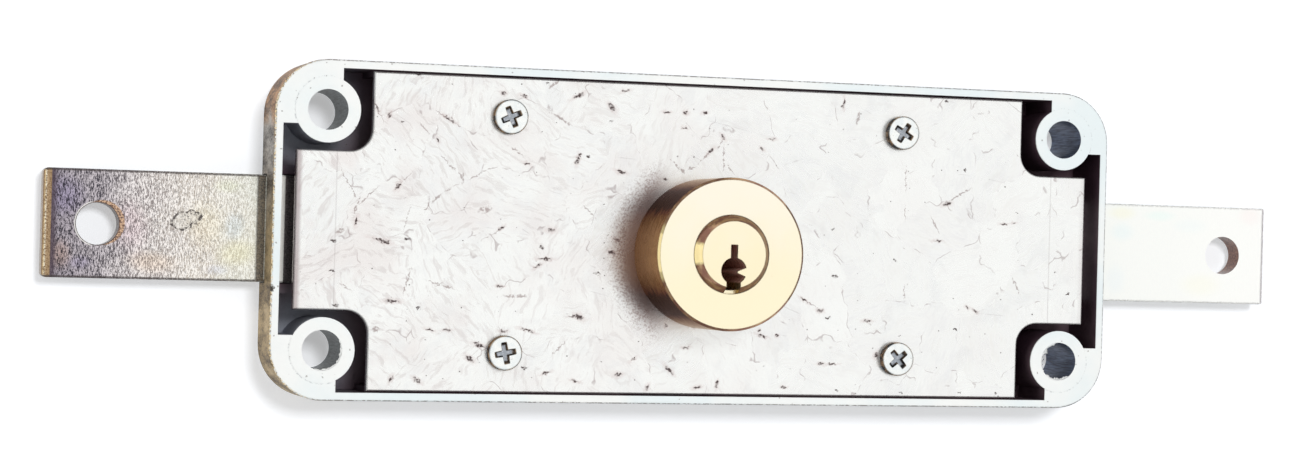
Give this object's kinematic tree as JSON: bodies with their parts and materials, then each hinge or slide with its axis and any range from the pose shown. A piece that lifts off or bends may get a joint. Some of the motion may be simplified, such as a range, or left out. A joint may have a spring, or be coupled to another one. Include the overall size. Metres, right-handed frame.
{
  "type": "roller shutter lock",
  "caption": "Flat central lock for a roller shutter: a shallow cast case with a steel cover, a round pin cylinder and a flat sliding bar out of each end, driven by rack and pinion.",
  "frame": {"origin": "middle of the case's flat back face, which is the centre of the four fixing holes", "axes": "+X along the bars, +Y across the case towards the pin chambers, +Z out of the back face through the cover and the cylinder"},
  "size_m": [0.2248, 0.0568, 0.0268],
  "materials": {
    "zinc_casting": "die-cast zinc alloy with a dull plated surface, brownish on the outer walls",
    "galvanised_sheet": "hot-dip galvanised sheet steel with a fine spangle, pitted and scratched",
    "bar_steel": "zinc plated and passivated flat steel bar with pale yellow and pink tints",
    "cylinder_brass": "machined brass, satin",
    "plug_brass": "machined brass, satin",
    "pin_brass": "turned brass",
    "screw_steel": "bright zinc plated steel",
    "plain_steel": "plain machined steel, lightly oiled",
    "spring_steel": "spring steel, bright"
  },
  "bodies": {
    "lock_case": {"case": "zinc_casting", "cover_plate": "galvanised_sheet", "cover_screw_left_lower": "screw_steel", "cover_screw_left_upper": "screw_steel", "cover_screw_right_lower": "screw_steel", "cover_screw_right_upper": "screw_steel", "cylinder_body": "cylinder_brass", "cylinder_nut": "cylinder_brass", "chamber_caps": "cylinder_brass", "driver_pin_1": "pin_brass", "driver_pin_2": "pin_brass", "driver_pin_3": "pin_brass", "driver_pin_4": "pin_brass", "pin_spring_1": "spring_steel", "pin_spring_2": "spring_steel", "pin_spring_3": "spring_steel", "pin_spring_4": "spring_steel"},
    "key_plug": {"plug": "plug_brass", "plug_clip": "spring_steel", "pinion": "plain_steel", "key_pin_1": "pin_brass", "key_pin_2": "pin_brass", "key_pin_3": "pin_brass", "key_pin_4": "pin_brass"},
    "left_slide": {"left_bar": "bar_steel"},
    "right_slide": {"right_bar": "bar_steel"}
  },
  "joints": [
    {"name": "right_bar_slide", "type": "slide", "parent": "lock_case", "child": "right_slide", "axis": [1, 0, 0], "range_m": [0, 0.02011]},
    {"name": "left_bar_slide", "type": "slide", "parent": "lock_case", "child": "left_slide", "axis": [-1, 0, 0], "range_m": [0, 0.0203]},
    {"name": "plug_turn", "type": "hinge", "parent": "lock_case", "child": "key_plug", "pos_m": [0, -0.0023, 0.025], "axis": [0, 0, -1], "range_deg": [0, 361]}
  ],
  "couplings": [
    {"joint": "plug_turn", "follows": "right_bar_slide", "rad_per_m": 312.5},
    {"joint": "left_bar_slide", "follows": "right_bar_slide", "ratio": 1}
  ]
}
